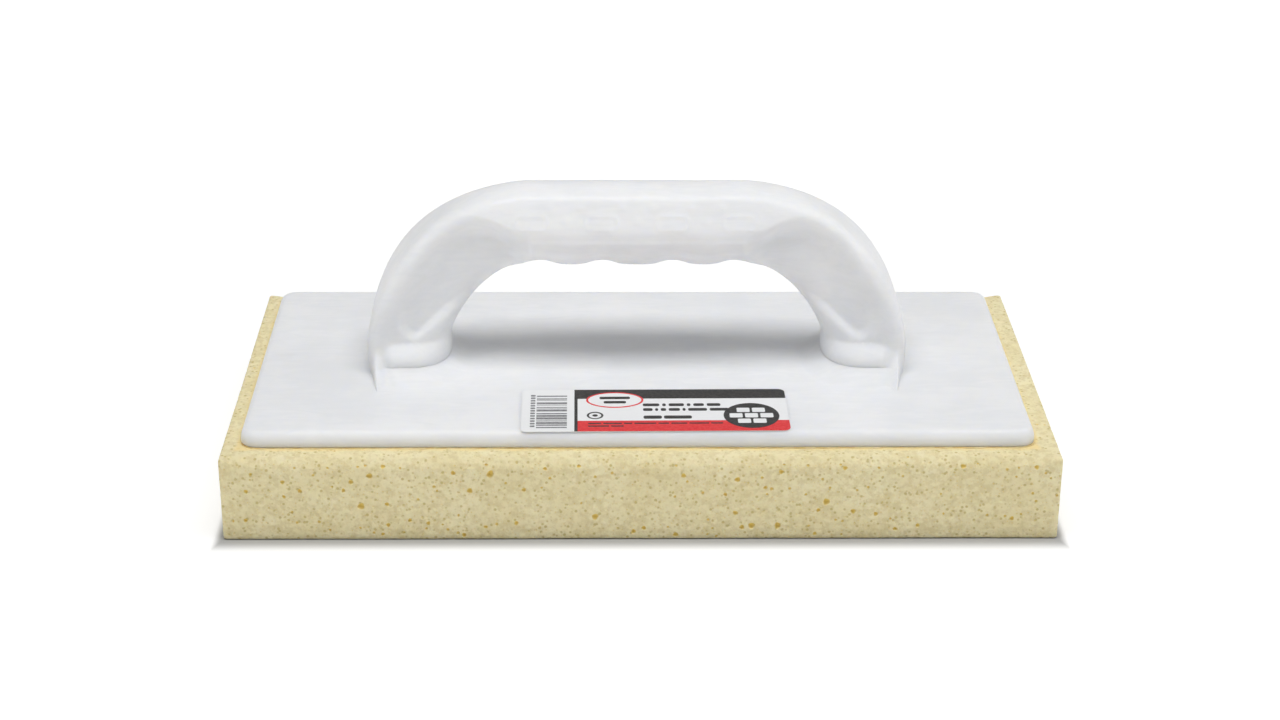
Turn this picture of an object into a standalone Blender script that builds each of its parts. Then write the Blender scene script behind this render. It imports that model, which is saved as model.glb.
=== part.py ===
"""Sponge float for cleaning grout off tiles. Metres, +Z up, X along the float and Y across it.

One plastic moulding makes the backing plate and the arched handle. A sponge pad is bonded under
the plate by a thin layer of adhesive, and a paper label is stuck on the plate in front of the
handle. The origin is at the centre of the pad's sole. Touching pieces keep a small gap.
"""

import math

import bmesh
import bpy

# Driving dimensions
GAP = 0.0003
PAD_LENGTH = 0.280
PAD_WIDTH = 0.140
PAD_THICKNESS = 0.030
PAD_CORNER = 0.0015
PAD_TOP_ROUND = 0.002
PAD_SOLE_ROUND = 0.001

ADHESIVE_MARGIN = 0.0015
ADHESIVE_THICKNESS = 0.0003

PLATE_LENGTH = 0.266
PLATE_WIDTH = 0.1226
PLATE_THICKNESS = 0.0047
PLATE_CORNER = 0.005
PLATE_TOP_ROUND = 0.0018
PLATE_SOLE_ROUND = 0.0004

LABEL_LENGTH = 0.0916
LABEL_WIDTH = 0.0325
LABEL_THICKNESS = 0.0002
LABEL_CORNER = 0.0022
LABEL_CENTRE = (0.0047, -0.0440)

# The handle's outer and inner outlines, seen along Y: a straight grip, a bend at each end and a leg
HANDLE_HEIGHT = 0.1012
GRIP_HALF_LENGTH = 0.036
GRIP_DEPTH = 0.0277
OUTER_HALF_SPAN = 0.0951
INNER_HALF_SPAN = 0.0679
OUTER_BEND_FOOT = 0.040
INNER_BEND_FOOT = 0.038
OUTER_BEND_POWER = 1.95
INNER_BEND_POWER = 1.7

# Finger grooves under the grip: their crests are ridges between the fingers
FINGER_PITCH = 0.022
FINGER_DEPTH = 0.00095

# The handle's section: half widths along Y, and the hollow in the front and back of each bend and leg
SECTION_POWER = 2.25
GRIP_HALF_WIDTH = 0.0142
LEG_HALF_WIDTH = 0.0135
HOLLOW_DEPTH = 0.0036

# The rim along the outside of each leg flares into a thin fin at the plate
RIM_HALF_WIDTH = 0.0172
FIN_HALF_WIDTH = 0.0340
FIN_HEIGHT = 0.010

# The hollow ends at a rounded toe, between these heights above the plate
TOE_HALF_WIDTH = 0.0150
TOE_START = 0.0125
TOE_FULL = 0.0060

# Each foot stands on a low mound: (share of its height, share of its spread) from its top down
MOUND_HEIGHT = 0.0030
MOUND_REACH = 0.0085
MOUND_REACH_OUTSIDE = 0.0006
MOUND_SLOPE = ((1.0, 0.08), (0.75, 0.30), (0.45, 0.56), (0.15, 0.82), (0.0, 1.0))
ROOT_DEPTH = 0.002

# How finely the surfaces are divided
RING_POINTS = 32
GRIP_STATIONS = 13
BEND_STATIONS = 18
CORNER_STEPS = 6
ROUND_STEPS = 4

PLATE_BOTTOM = PAD_THICKNESS + GAP + ADHESIVE_THICKNESS + GAP
PLATE_TOP = PLATE_BOTTOM + PLATE_THICKNESS


def clear_scene():
    for old in list(bpy.data.objects):
        bpy.data.objects.remove(old)


def material(name, colour, roughness):
    """A Principled BSDF with one colour and roughness."""
    made = bpy.data.materials.new(name)
    made.use_nodes = True
    shader = made.node_tree.nodes["Principled BSDF"]
    shader.inputs["Base Color"].default_value = (*colour, 1.0)
    shader.inputs["Roughness"].default_value = roughness
    shader.inputs["Metallic"].default_value = 0.0
    made.diffuse_color = (*colour, 1.0)
    return made


def blend(low, high, amount):
    """From low to high as amount goes from 0 to 1."""
    return low + (high - low) * amount


def smooth_step(start, end, value):
    """0 before start, 1 after end, and an S-curve between them."""
    share = min(1.0, max(0.0, (value - start) / (end - start)))
    return share * share * (3.0 - 2.0 * share)


def bump(centre, spread, value):
    """A bell curve that is 1 at its centre."""
    return math.exp(-(((value - centre) / spread) ** 2))


def signed_power(value, power):
    return math.copysign(abs(value) ** power, value)


def lofted_object(name, rings, finish):
    """A closed body through rings of points, capped at both ends."""
    mesh = bpy.data.meshes.new(name)
    bm = bmesh.new()
    loops = [[bm.verts.new(point) for point in ring] for ring in rings]
    for low, high in zip(loops, loops[1:]):
        for k in range(len(low)):
            after = (k + 1) % len(low)
            bm.faces.new((low[k], low[after], high[after], high[k]))
    bm.faces.new(list(reversed(loops[0])))
    bm.faces.new(loops[-1])
    bmesh.ops.recalc_face_normals(bm, faces=bm.faces)
    bm.to_mesh(mesh)
    bm.free()
    mesh.shade_smooth()
    mesh.set_sharp_from_angle(angle=math.radians(38))
    mesh.materials.append(finish)
    made = bpy.data.objects.new(name, mesh)
    bpy.context.scene.collection.objects.link(made)
    return made


def rounded_outline(length, width, corner, inset):
    """Points round a rectangle with round corners, drawn in by inset on every side."""
    points = []
    radius = max(corner - inset, corner * 0.2)
    across = length / 2 - inset - radius
    along = width / 2 - inset - radius
    for quarter, (side_x, side_y) in enumerate(((1, 1), (-1, 1), (-1, -1), (1, -1))):
        for step in range(CORNER_STEPS + 1):
            angle = math.radians(90) * (quarter + step / CORNER_STEPS)
            x = side_x * across + radius * math.cos(angle)
            y = side_y * along + radius * math.sin(angle)
            points.append((x, y))
    return points


def slab_levels(bottom, top, sole_round, top_round):
    """(inset, height) pairs up a slab's side, with its lower and upper edges rounded."""
    levels = []
    for step in range(ROUND_STEPS + 1):
        angle = math.radians(90) * step / ROUND_STEPS
        levels.append((sole_round * (1 - math.sin(angle)), bottom + sole_round * (1 - math.cos(angle))))
    for step in range(ROUND_STEPS + 1):
        angle = math.radians(90) * step / ROUND_STEPS
        levels.append((top_round * (1 - math.cos(angle)), top - top_round * (1 - math.sin(angle))))
    return levels


def rounded_slab(name, size, corner, levels, finish, centre=(0.0, 0.0)):
    """A flat slab with round corners, through the given (inset, height) levels."""
    rings = []
    for inset, height in levels:
        outline = rounded_outline(size[0], size[1], corner, inset)
        rings.append([(centre[0] + x, centre[1] + y, height) for x, y in outline])
    return lofted_object(name, rings, finish)


def make_sponge_pad():
    levels = slab_levels(0.0, PAD_THICKNESS, PAD_SOLE_ROUND, PAD_TOP_ROUND)
    finish = material("sponge", (0.80, 0.73, 0.46), 0.95)
    return rounded_slab("sponge_pad", (PAD_LENGTH, PAD_WIDTH), PAD_CORNER, levels, finish)


def make_adhesive_layer():
    bottom = PAD_THICKNESS + GAP
    size = (PLATE_LENGTH - 2 * ADHESIVE_MARGIN, PLATE_WIDTH - 2 * ADHESIVE_MARGIN)
    levels = ((0.0, bottom), (0.0, bottom + ADHESIVE_THICKNESS))
    finish = material("adhesive", (0.62, 0.47, 0.20), 0.6)
    return rounded_slab("adhesive_layer", size, PLATE_CORNER - ADHESIVE_MARGIN, levels, finish)


def make_label():
    bottom = PLATE_TOP + GAP
    levels = ((0.0, bottom), (0.0, bottom + LABEL_THICKNESS))
    finish = material("label", (0.90, 0.90, 0.90), 0.45)
    size = (LABEL_LENGTH, LABEL_WIDTH)
    return rounded_slab("label", size, LABEL_CORNER, levels, finish, LABEL_CENTRE)


def grip_sections():
    """Sections along the straight grip, from its middle to its end."""
    for step in range(GRIP_STATIONS):
        x = GRIP_HALF_LENGTH * step / GRIP_STATIONS
        groove = FINGER_DEPTH * math.cos(math.tau * x / FINGER_PITCH)
        inner = HANDLE_HEIGHT - GRIP_DEPTH - groove
        yield {"outer": (x, HANDLE_HEIGHT), "inner": (x, inner), "turn": 0.0}


def bend_sections():
    """Sections round the bend, from the end of the grip down to the top of the leg."""
    for step in range(BEND_STATIONS):
        turn = step / (BEND_STATIONS - 1)
        angle = math.radians(90) * (1 - turn)
        outline = []
        for span, foot, top, power in (
            (OUTER_HALF_SPAN, OUTER_BEND_FOOT, HANDLE_HEIGHT, OUTER_BEND_POWER),
            (INNER_HALF_SPAN, INNER_BEND_FOOT, HANDLE_HEIGHT - GRIP_DEPTH, INNER_BEND_POWER),
        ):
            x = GRIP_HALF_LENGTH + (span - GRIP_HALF_LENGTH) * abs(math.cos(angle)) ** (2 / power)
            z = foot + (top - foot) * abs(math.sin(angle)) ** (2 / power)
            outline.append((x, z))
        x = outline[1][0]
        groove = FINGER_DEPTH * math.cos(math.tau * x / FINGER_PITCH)
        fade = 1 - smooth_step(GRIP_HALF_LENGTH, GRIP_HALF_LENGTH + FINGER_PITCH / 2, x)
        outline[1] = (x, outline[1][1] - groove * fade)
        yield {"outer": outline[0], "inner": outline[1], "turn": turn}


def mound_sections():
    """Sections down the mound under the foot, spreading out, and on into the plate."""
    for height, spread in (*MOUND_SLOPE, (-ROOT_DEPTH / MOUND_HEIGHT, 1.0)):
        z = PLATE_TOP + MOUND_HEIGHT * height
        outer = OUTER_HALF_SPAN + MOUND_REACH_OUTSIDE * spread
        inner = INNER_HALF_SPAN - MOUND_REACH * spread
        yield {"outer": (outer, z), "inner": (inner, z), "turn": 1.0, "spread": spread}


def half_width(section, across, height):
    """Half the handle's width at a share of its depth: -1 on the inner outline, 1 on the outer one."""
    turn = section["turn"]
    toe = smooth_step(PLATE_TOP + TOE_START, PLATE_TOP + TOE_FULL, height)
    hollow = HOLLOW_DEPTH * smooth_step(0.03, 0.40, turn) * (1 - toe)
    leg = blend(GRIP_HALF_WIDTH, LEG_HALF_WIDTH, smooth_step(0.0, 0.5, turn))
    width = blend(leg, TOE_HALF_WIDTH, toe) - hollow * bump(-0.05, 0.55, across)
    rim = (RIM_HALF_WIDTH - LEG_HALF_WIDTH) * smooth_step(0.25, 0.9, turn) * bump(0.70, 0.30, across)
    fin = (FIN_HALF_WIDTH - RIM_HALF_WIDTH) * smooth_step(PLATE_TOP + FIN_HEIGHT, PLATE_TOP, height)
    mound = MOUND_REACH * section.get("spread", 0.0) * (1 - smooth_step(0.3, 0.9, across))
    return width + math.hypot(mound, rim + fin * bump(0.66, 0.16, across))


def section_ring(section, side):
    """The ring of points of one section, on the left (side -1) or right (side 1) half of the handle."""
    (outer_x, outer_z), (inner_x, inner_z) = section["outer"], section["inner"]
    ring = []
    for k in range(RING_POINTS):
        angle = math.tau * k / RING_POINTS
        across = signed_power(math.cos(angle), 2 / SECTION_POWER)
        sideways = signed_power(math.sin(angle), 2 / SECTION_POWER)
        x = blend(inner_x, outer_x, (across + 1) / 2)
        z = blend(inner_z, outer_z, (across + 1) / 2)
        y = sideways * half_width(section, across, z)
        ring.append((side * x, y, z))
    return ring


def make_handle_shape(finish):
    """The arched handle, from inside the plate under one foot to inside the plate under the other."""
    half = [*grip_sections(), *bend_sections(), *mound_sections()]
    left = [section_ring(section, -1) for section in reversed(half)]
    right = [section_ring(section, 1) for section in half[1:]]
    handle = lofted_object("handle_shape", left + right, finish)
    handle.hide_render = True
    handle.display_type = "WIRE"
    return handle


def make_float_body():
    """The backing plate and the handle, moulded as one piece."""
    finish = material("moulded_plastic", (0.87, 0.88, 0.89), 0.35)
    levels = slab_levels(PLATE_BOTTOM, PLATE_TOP, PLATE_SOLE_ROUND, PLATE_TOP_ROUND)
    body = rounded_slab("float_body", (PLATE_LENGTH, PLATE_WIDTH), PLATE_CORNER, levels, finish)
    union = body.modifiers.new("handle", "BOOLEAN")
    union.operation = "UNION"
    union.solver = "EXACT"
    union.object = make_handle_shape(finish)
    return body


def main():
    clear_scene()
    frame = bpy.data.objects.new("grout_float", None)
    bpy.context.scene.collection.objects.link(frame)
    for piece in (make_sponge_pad(), make_adhesive_layer(), make_float_body(), make_label()):
        piece.parent = frame


main()
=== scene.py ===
"""Looks of the sponge float: its milky moulding, open-cell sponge, line of glue and sticker.

Metres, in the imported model's frame: X along the float, Y across it and Z up from the sole.
"""

import math
import random

import bmesh
import bpy
import numpy as np
from mathutils import Matrix, Vector, noise
from mathutils.geometry import delaunay_2d_cdt


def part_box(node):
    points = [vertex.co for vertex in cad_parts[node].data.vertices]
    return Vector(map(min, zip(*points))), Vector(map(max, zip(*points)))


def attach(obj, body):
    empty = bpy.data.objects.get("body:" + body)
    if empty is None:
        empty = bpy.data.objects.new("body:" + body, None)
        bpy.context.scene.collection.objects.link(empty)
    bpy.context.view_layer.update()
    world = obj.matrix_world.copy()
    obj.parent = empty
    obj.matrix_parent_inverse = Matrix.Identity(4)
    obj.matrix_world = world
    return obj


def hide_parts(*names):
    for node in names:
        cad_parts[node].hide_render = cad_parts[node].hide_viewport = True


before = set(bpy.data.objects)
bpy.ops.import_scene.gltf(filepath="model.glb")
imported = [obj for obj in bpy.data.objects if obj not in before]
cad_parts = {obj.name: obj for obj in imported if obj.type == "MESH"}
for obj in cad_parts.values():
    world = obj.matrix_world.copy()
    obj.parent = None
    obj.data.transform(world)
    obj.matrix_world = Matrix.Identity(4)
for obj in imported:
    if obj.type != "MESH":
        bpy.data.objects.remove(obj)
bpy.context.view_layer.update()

MM = 0.001

# Places and sizes that the frame gives
pad_low, pad_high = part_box("sponge_pad")
body_low, body_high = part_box("float_body")
PAD_HALF = (pad_high - pad_low) / 2
PAD_CENTRE = (pad_high + pad_low) / 2
PAD_TOP = pad_high.z
PLATE_LENGTH = body_high.x - body_low.x
PLATE_WIDTH = body_high.y - body_low.y
HANDLE_HEIGHT = body_high.z

# The plate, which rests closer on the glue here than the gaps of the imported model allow
PLATE_TOP = 0.0356
PLATE_SOLE = PAD_TOP + 0.15 * MM
PLATE_CORNER = 5.8 * MM
PLATE_TOP_ROUND = 2.5 * MM
PLATE_SIDE_FALL = 4.0 * MM
PLATE_SOLE_ROUND = 0.5 * MM
PLATE_GRID = 1.7 * MM

# The plate's top: a sink ring round each foot, the parting ridge at the left end, and a slight swell
SINK_PLACE = (0.0873, 2.0 * MM)
SINK_RADIUS = 18.3 * MM
SINK_DEPTH = 0.07 * MM
PARTING_Y = 0.3 * MM
PARTING_RISE = 0.10 * MM
SWELL_RISE = 0.05 * MM

# The moulding is glued on a little left of the sponge's middle
BODY_SHIFT = -0.9 * MM

# The handle's outer and inner outlines, seen along Y
GRIP_HALF_LENGTH = 0.036
GRIP_DEPTH = 0.0277
OUTER_HALF_SPAN = 0.0946
INNER_HALF_SPAN = 0.0667
OUTER_TUCK = 1.0 * MM
OUTER_TUCK_TOP = 0.0500
OUTER_TUCK_POWER = 1.6
OUTER_BEND_FOOT = 0.040
INNER_BEND_FOOT = 0.0392
OUTER_BEND_POWER = 1.95
INNER_BEND_POWER = 1.7

# Finger grooves across the grip's underside: their places either side of the middle
FINGER_GROOVES = (12.2 * MM, 33.6 * MM)
FINGER_HALF_WIDTH = 5.2 * MM
FINGER_DEPTH = 1.7 * MM
FINGER_RIDGE = 0.95 * MM
FINGER_SQUARENESS = 2.6

# The handle's section, the hollow in the front and back of each leg, and the rim along its outside
SECTION_POWER = 2.25
LEG_SECTION_POWER = 8.5
GRIP_HALF_WIDTH = 14.2 * MM
LEG_HALF_WIDTH = 13.5 * MM
HOLLOW_DEPTH = 6.8 * MM
HOLLOW_FOOT_SHARE = 0.30
RIM_HALF_WIDTH = 15.2 * MM
FIN_ACROSS = 0.76
FIN_HALF_WIDTH = 29.5 * MM
FIN_HEIGHT = 11.0 * MM

# The grip's upper faces slope in from a soft shoulder
SHOULDER_ACROSS = 0.10
SHOULDER_SLOPE = 0.50
SHOULDER_SOFTNESS = 0.06

# The foot: the hollow's lower end with its rise to both sides, a fine nick, and the toe below it
HOLLOW_END_TOP = 0.0512
HOLLOW_END_FOOT = 0.0475
HOLLOW_END_ACROSS = -0.1
HOLLOW_END_RISE = 6.0 * MM
NICK_HEIGHT = 0.0472
NICK_DEPTH = 0.07 * MM
TOE_TOP = 0.0471
TOE_WIDEST = 0.0402
TOE_SWELL = 4.6 * MM
TOE_SWELL_INSIDE = 1.4 * MM
TOE_TUCK = 0.3 * MM
TOE_POWER = 1.25

# The mound under each foot
MOUND_HEIGHT = 3.8 * MM
MOUND_REACH = 8.5 * MM
MOUND_REACH_OUTSIDE = 0.1 * MM
MOUND_POWER = 1.7
ROOT_DEPTH = 2.0 * MM

# How finely the handle is divided
RING_POINTS = 168
GRIP_STATIONS = 72
BEND_STATIONS = 112
FOOT_STATIONS = 6
MOUND_STATIONS = 12

# Raised outlines on the grip's front and back, with three small studs in each gap between them
PANEL_CENTRES = (-0.0365, -0.0124, 0.0119, 0.0348)
PANEL_HEIGHT = 0.0914
PANEL_HALF_SIZE = (5.5 * MM, 2.1 * MM)
PANEL_CORNER = 1.6 * MM
PANEL_RISE = 0.26 * MM
STUD_GAPS = (-0.0245, 0.0, 0.0235)
STUD_OFFSETS = ((-5.2 * MM, 4.6 * MM), (0.0, 0.4 * MM), (5.2 * MM, 4.6 * MM))
STUD_SPREAD = (1.5 * MM, 1.1 * MM)
STUD_RISE = 0.42 * MM

# The fine ledge along the grip: its height, how far it stands out, and where it fades away
LEDGE_HEIGHT = 0.0848
LEDGE_DEPTH = 0.35 * MM
LEDGE_FADE_BELOW = (0.0765, 0.0805)
LEDGE_FADE_ALONG = (0.036, 0.050)

# The sponge
PAD_TOP_ROUND = 4.2 * MM
PAD_END_ROUND = 1.0 * MM
PAD_SOLE_ROUND = 1.0 * MM
EDGE_ROWS = (0.0, 0.5 * MM, 1.1 * MM, 1.9 * MM, 2.9 * MM, 4.2 * MM)
PAD_GRID = 3.0 * MM
PORE_CELL = 3.2 * MM

# The glue: waves of its bead round the plate, the bead's section from its foot inwards, and its drips
GLUE_WAVES = (5, 11, 17, 29, 41, 67, 97, 131, 173)
GLUE_LEVELS = ((0.0, -0.05), (0.08, 0.08), (0.05, 0.18), (-0.10, 0.26), (-0.45, 0.28), (-2.5, 0.10))
GLUE_DRIPS = 60

# The sticker
LABEL_SIZE = (90.2 * MM, 32.4 * MM)
LABEL_TURN = math.radians(0.45)

# The camera, which looks along the float's short side from a little to the left
CAMERA_PLACE = (-0.01368, -0.78445, 0.39235)
CAMERA_PITCH = math.radians(24.53)
CAMERA_YAW = math.radians(1.03)
CAMERA_ROLL = math.radians(0.385)
CAMERA_LENS = 68.17

# The studio: softboxes as (name, place, size, watts), the pale room's own light, and the floor's glow,
# which rises over these distances from the sponge; the narrow band left dark at its foot is a painted
# contact shadow
SOFTBOXES = (
    ("overhead", (0.0, -0.28, 1.25), (1.2, 0.45), 11.2),
    ("front", (0.0, -1.8, 1.3), (2.4, 1.0), 2.1),
    ("back", (0.0, 1.2, 1.1), (2.0, 0.8), 2.0),
    ("right", (1.6, 0.3, 0.7), (0.9, 1.2), 3.5),
)
ROOM_LIGHT = 0.195
FLOOR_REACH = 3.5
PAINTED_SHADOW_SPAN = (0.9 * MM, 8.8 * MM)
GLOW_PAST_PAINTED_SHADOW = 0.64
GLOW_FAR = (0.03, 0.30)
GLOW_FAR_POWER = 0.22


def blend(low, high, amount):
    """From low to high as amount goes from 0 to 1."""
    return low + (high - low) * amount


def smooth_step(start, end, value):
    """0 before start, 1 after end, and an S-curve between them."""
    share = np.clip((np.asarray(value) - start) / (end - start), 0.0, 1.0)
    return share * share * (3.0 - 2.0 * share)


def bump(centre, spread, value):
    """A bell curve that is 1 at its centre."""
    return np.exp(-(((np.asarray(value) - centre) / spread) ** 2))


def signed_power(value, power):
    """A power of the value's size, with the value's sign."""
    return np.copysign(np.abs(value) ** power, value)


def new_object(name, points, faces, finish, sharp_angle):
    """A mesh object from points and faces, shaded smooth except across edges sharper than sharp_angle."""
    mesh = bpy.data.meshes.new(name)
    mesh.from_pydata([tuple(point) for point in points], [], faces)
    mesh.validate()
    bm = bmesh.new()
    bm.from_mesh(mesh)
    bmesh.ops.recalc_face_normals(bm, faces=bm.faces)
    bm.to_mesh(mesh)
    bm.free()
    mesh.materials.append(finish)
    mesh.shade_smooth()
    mesh.set_sharp_from_angle(angle=math.radians(sharp_angle))
    made = bpy.data.objects.new(name, mesh)
    bpy.context.scene.collection.objects.link(made)
    return made


def ring_faces(rings, size):
    """Faces of a closed body through that many rings of size points each, capped at both ends."""
    faces = []
    for level in range(rings - 1):
        start = level * size
        for k in range(size):
            after = (k + 1) % size
            faces.append((start + k, start + after, start + size + after, start + size + k))
    faces.append(tuple(range(size))[::-1])
    faces.append(tuple((rings - 1) * size + k for k in range(size)))
    return faces


# ---------------------------------------------------------------- materials


def add_node(tree, kind, values=None, **settings):
    """A new node. Each of values goes to the input of that name or number: a socket is linked to it."""
    node = tree.nodes.new(kind)
    for key, value in settings.items():
        setattr(node, key, value)
    for key, value in (values or {}).items():
        if isinstance(value, bpy.types.NodeSocket):
            tree.links.new(value, node.inputs[key])
        else:
            node.inputs[key].default_value = value
    return node


def new_material(name):
    """An empty material with a Principled BSDF: its node tree, its shader and its position socket."""
    made = bpy.data.materials.new(name)
    made.use_nodes = True
    tree = made.node_tree
    shader = tree.nodes["Principled BSDF"]
    place = add_node(tree, "ShaderNodeTexCoord").outputs["Object"]
    return made, tree, shader, place


def stretched(tree, place, scale):
    """The position, scaled by three factors."""
    return add_node(tree, "ShaderNodeMapping", {"Vector": place, "Scale": scale}).outputs[0]


def noise_value(tree, place, scale, detail=3.0, roughness=0.5, distortion=0.0):
    """Smooth noise, about 0.3 to 0.7."""
    values = {"Vector": place, "Scale": scale, "Detail": detail, "Roughness": roughness}
    values["Distortion"] = distortion
    return add_node(tree, "ShaderNodeTexNoise", values).outputs["Fac"]


def cell_distance(tree, place, scale):
    """Distance to the middle of the nearest of scattered cells."""
    values = {"Vector": place, "Scale": scale}
    return add_node(tree, "ShaderNodeTexVoronoi", values, feature="F1").outputs["Distance"]


def remap(tree, value, start, end, low=0.0, high=1.0):
    """The node form of smooth_step, from low at start to high at end."""
    values = {"Value": value, "From Min": start, "From Max": end, "To Min": low, "To Max": high}
    return add_node(tree, "ShaderNodeMapRange", values, interpolation_type="SMOOTHSTEP").outputs["Result"]


def calculate(tree, operation, first, second=0.0):
    """One sum with two values, each a number or a socket."""
    return add_node(tree, "ShaderNodeMath", {0: first, 1: second}, operation=operation).outputs[0]


def mix_colour(tree, amount, first, second):
    """A colour between two, each an RGB triple or a socket."""
    ends = [end if isinstance(end, bpy.types.NodeSocket) else (*end, 1.0) for end in (first, second)]
    values = {"Factor": amount, "A": ends[0], "B": ends[1]}
    node = tree.nodes.new("ShaderNodeMix")
    node.data_type = "RGBA"
    for socket in node.inputs:
        if socket.enabled and socket.name in values:
            value = values[socket.name]
            if isinstance(value, bpy.types.NodeSocket):
                tree.links.new(value, socket)
            else:
                socket.default_value = value
    return next(socket for socket in node.outputs if socket.enabled)


def add_bump(tree, shader, height, distance, strength):
    """Adds bump from a height socket, on top of any bump that the shader already has."""
    values = {"Height": height, "Distance": distance, "Strength": strength}
    node = add_node(tree, "ShaderNodeBump", values)
    earlier = shader.inputs["Normal"].links
    if earlier:
        tree.links.new(earlier[0].from_socket, node.inputs["Normal"])
    tree.links.new(node.outputs["Normal"], shader.inputs["Normal"])


def set_inputs(shader, **values):
    """Sets constants on the shader's own sockets; an underscore stands for a space."""
    for key, value in values.items():
        shader.inputs[key.replace("_", " ")].default_value = value


def make_plastic():
    """Milky white polyolefin: slightly clouded, satin, with faint flow marks from moulding."""
    made, tree, shader, place = new_material("milky_plastic")
    set_inputs(shader, Subsurface_Weight=0.7, Subsurface_Radius=(1.0, 0.93, 0.78), Subsurface_Scale=0.0045)
    set_inputs(shader, IOR=1.49, Specular_IOR_Level=0.42)
    clouds = noise_value(tree, place, 38.0, 4.0, 0.55)
    along = stretched(tree, place, (0.22, 1.0, 1.0))
    swirls = noise_value(tree, along, 260.0, 5.0, 0.6, 1.6)
    weighted = [calculate(tree, "MULTIPLY", part, share) for part, share in ((clouds, 0.6), (swirls, 0.4))]
    shade = remap(tree, calculate(tree, "ADD", *weighted), 0.36, 0.64)
    body = mix_colour(tree, shade, (0.845, 0.858, 0.878), (0.905, 0.912, 0.925))
    tree.links.new(body, shader.inputs["Base Color"])
    gloss = remap(tree, noise_value(tree, along, 150.0, 4.0), 0.3, 0.7, 0.40, 0.56)
    tree.links.new(gloss, shader.inputs["Roughness"])
    add_bump(tree, shader, swirls, 0.05 * MM, 0.5)
    add_bump(tree, shader, noise_value(tree, place, 1900.0, 2.0), 0.012 * MM, 0.5)
    return made


def make_sponge_finish():
    """Pale yellow open-cell foam: fine cells all over, dark dots of painted shade for the smallest pores,
    and golden, darker colour painted deep in the modelled pores for their shade and bounced light.
    """
    made, tree, shader, place = new_material("open_cell_sponge")
    set_inputs(shader, Roughness=0.95, Specular_IOR_Level=0.12)
    set_inputs(shader, Subsurface_Weight=0.25, Subsurface_Radius=(1.0, 0.75, 0.35), Subsurface_Scale=0.0015)
    blotches = remap(tree, noise_value(tree, place, 60.0, 3.0, 0.5), 0.30, 0.70)
    body = mix_colour(tree, blotches, (0.86, 0.765, 0.47), (0.90, 0.815, 0.53))
    grain = remap(tree, noise_value(tree, place, 420.0, 3.0, 0.65), 0.40, 0.66)
    body = mix_colour(tree, calculate(tree, "MULTIPLY", grain, 0.6), body, (0.72, 0.61, 0.33))
    cells = cell_distance(tree, place, 520.0)
    # Painted shade: small dark dots stand for pores too small to model
    painted_pore_shade_dots = remap(tree, cells, 0.36, 0.16)
    patch = remap(tree, noise_value(tree, place, 330.0, 2.0), 0.40, 0.56)
    painted_pore_shade_dots = calculate(tree, "MULTIPLY", painted_pore_shade_dots, patch)
    body = mix_colour(tree, calculate(tree, "MULTIPLY", painted_pore_shade_dots, 0.8), body, (0.60, 0.49, 0.20))
    # Painted shade and bounced light: the colour turns golden and darker deeper in each modelled pore
    depth = add_node(tree, "ShaderNodeAttribute", attribute_name="pore_painted_shade").outputs["Fac"]
    body = mix_colour(tree, depth, body, (0.82, 0.62, 0.17))
    # The glue stains the foam within the plate's ragged outline, at every height
    axes = add_node(tree, "ShaderNodeSeparateXYZ", {"Vector": place}).outputs
    past_middle = calculate(tree, "ABSOLUTE", calculate(tree, "SUBTRACT", axes["X"], BODY_SHIFT))
    past_end = calculate(tree, "SUBTRACT", past_middle, PLATE_LENGTH / 2)
    past_side = calculate(tree, "SUBTRACT", calculate(tree, "ABSOLUTE", axes["Y"]), PLATE_WIDTH / 2)
    from_plate = calculate(tree, "MAXIMUM", past_end, past_side)
    ragged = calculate(tree, "MULTIPLY", noise_value(tree, place, 210.0, 3.0), 2.4 * MM)
    from_plate = calculate(tree, "ADD", from_plate, calculate(tree, "SUBTRACT", ragged, 1.2 * MM))
    stained = remap(tree, from_plate, 2.3 * MM, 0.2 * MM, 0.0, 0.85)
    body = mix_colour(tree, stained, body, (0.93, 0.75, 0.36))
    tree.links.new(body, shader.inputs["Base Color"])
    add_bump(tree, shader, cells, 0.45 * MM, 0.55)
    add_bump(tree, shader, cell_distance(tree, place, 1500.0), 0.18 * MM, 0.5)
    add_bump(tree, shader, noise_value(tree, place, 260.0, 4.0), 0.4 * MM, 0.35)
    return made


def make_glue_finish():
    """Ochre contact adhesive, dried with an uneven gloss."""
    made, tree, shader, place = new_material("dried_adhesive")
    set_inputs(shader, Subsurface_Weight=0.3, Subsurface_Radius=(1.0, 0.6, 0.2), Subsurface_Scale=0.001)
    tone = remap(tree, noise_value(tree, place, 300.0, 4.0), 0.35, 0.65)
    body = mix_colour(tree, tone, (0.78, 0.57, 0.25), (0.90, 0.74, 0.43))
    tree.links.new(body, shader.inputs["Base Color"])
    gloss = remap(tree, noise_value(tree, place, 500.0, 3.0), 0.3, 0.7, 0.3, 0.6)
    tree.links.new(gloss, shader.inputs["Roughness"])
    add_bump(tree, shader, noise_value(tree, place, 900.0, 3.0), 0.1 * MM, 0.5)
    return made


def make_paper():
    """Coated white sticker paper with a trace of fibre."""
    made, tree, shader, place = new_material("sticker_paper")
    set_inputs(shader, Specular_IOR_Level=0.45)
    fibre = noise_value(tree, stretched(tree, place, (0.4, 1.0, 1.0)), 1300.0, 4.0, 0.6)
    body = mix_colour(tree, fibre, (0.86, 0.87, 0.88), (0.92, 0.925, 0.93))
    tree.links.new(body, shader.inputs["Base Color"])
    tree.links.new(remap(tree, fibre, 0.3, 0.7, 0.36, 0.46), shader.inputs["Roughness"])
    add_bump(tree, shader, fibre, 0.01 * MM, 0.4)
    return made


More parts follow.
